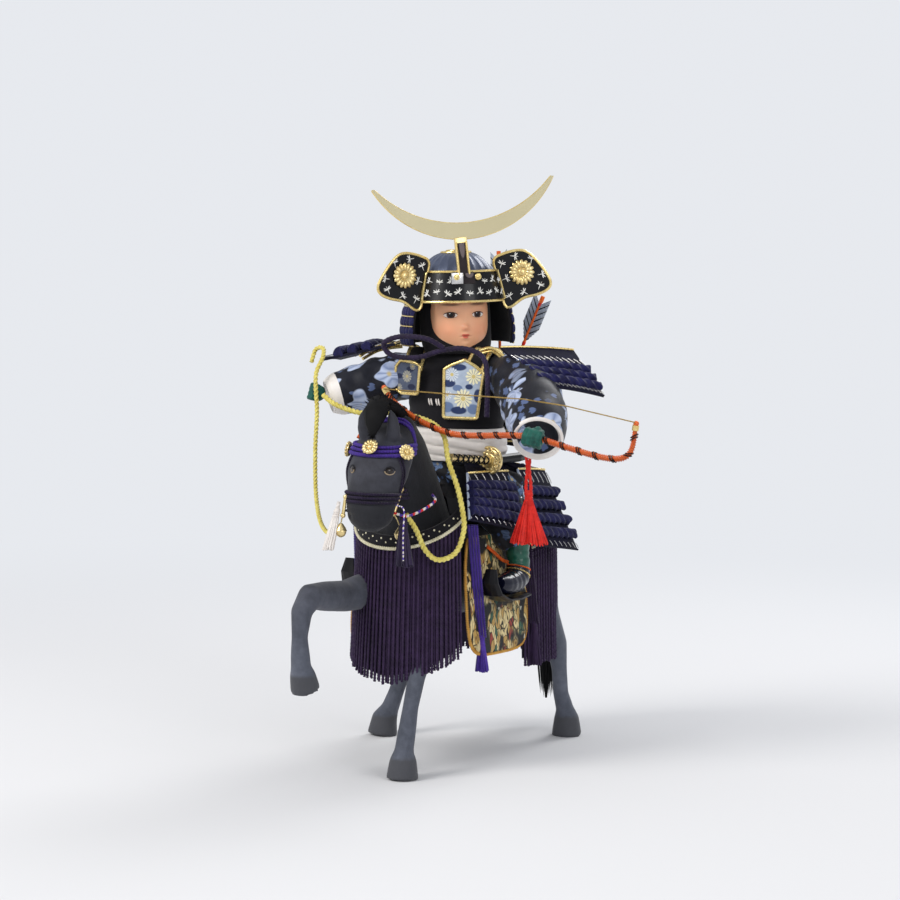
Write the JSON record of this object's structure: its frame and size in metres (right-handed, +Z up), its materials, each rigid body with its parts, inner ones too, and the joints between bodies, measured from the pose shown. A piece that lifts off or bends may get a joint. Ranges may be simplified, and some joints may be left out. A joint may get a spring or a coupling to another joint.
{
  "type": "mounted samurai doll",
  "caption": "Display doll of a warrior in laced armour drawing a bow from a dark horse in full tack, with a tall crescent crest.",
  "frame": {"origin": "middle of the bounding box at the height of the hooves' undersides, without the free reins", "axes": "+X to the rider's left, +Y to the horse's tail, +Z up"},
  "size_m": [0.2604, 0.2952, 0.3936],
  "materials": {
    "horse": "matt dark grey cast body",
    "fur": "black short pile",
    "purple": "dark purple twisted strands",
    "bright_purple": "purple woven braid",
    "navy": "navy lacing over dark lacquer",
    "black": "dark cloth and lacing",
    "lacquer": "gloss black lacquer",
    "brocade": "black, gold and green brocade",
    "gold": "polished gold plate",
    "pale_gold": "pale gold sheet",
    "skin": "smooth pale skin finish",
    "print": "navy brocade with pale flowers",
    "white": "white satin",
    "green": "dark green cloth",
    "orange": "orange lacquered cane with dark bands",
    "red": "red silk",
    "rein": "gold twisted cord"
  },
  "bodies": {
    "root": {"arrow_front": "orange", "bit_left": "gold", "bit_right": "gold", "boot_left": "lacquer", "boot_right": "lacquer", "bow": "orange", "bow_string": "gold", "breast_band": "black", "breast_plate_left": "print", "breast_plate_right": "print", "chest_fringe": "purple", "chin_cord": "purple", "crescent_crest": "pale_gold", "crest_post": "gold", "cuirass": "black", "doll_head": "skin", "hand_left": "green", "hand_right": "green", "headstall": "bright_purple", "helmet_bowl": "navy", "helmet_rosette_left": "gold", "helmet_rosette_right": "gold", "hood": "fur", "horse": "horse", "mane": "fur", "mouth_tassel_left": "purple", "mouth_tassel_right": "white", "neck_guard": "navy", "quiver": "lacquer", "red_tassel": "red", "rein_left": "rein", "rein_right": "rein", "rump_fringe": "purple", "saddle": "lacquer", "saddle_flap_left": "brocade", "saddle_flap_right": "brocade", "sash": "white", "scabbard": "lacquer", "shoulder_guard_left": "navy", "shoulder_guard_right": "navy", "side_tassel_front_left": "bright_purple", "side_tassel_front_right": "bright_purple", "side_tassel_rear_left": "bright_purple", "side_tassel_rear_right": "bright_purple", "sleeve_left": "print", "sleeve_right": "print", "stirrup_left": "lacquer", "stirrup_right": "lacquer", "sword_guard": "gold", "sword_hilt": "gold", "tail": "fur", "tasset_back": "navy", "tasset_front_left": "navy", "tasset_front_right": "navy", "tasset_rear_left": "navy", "tasset_rear_right": "navy", "trousers": "black", "turnback_left": "lacquer", "turnback_right": "lacquer", "visor": "lacquer"}
  },
  "joints": []
}
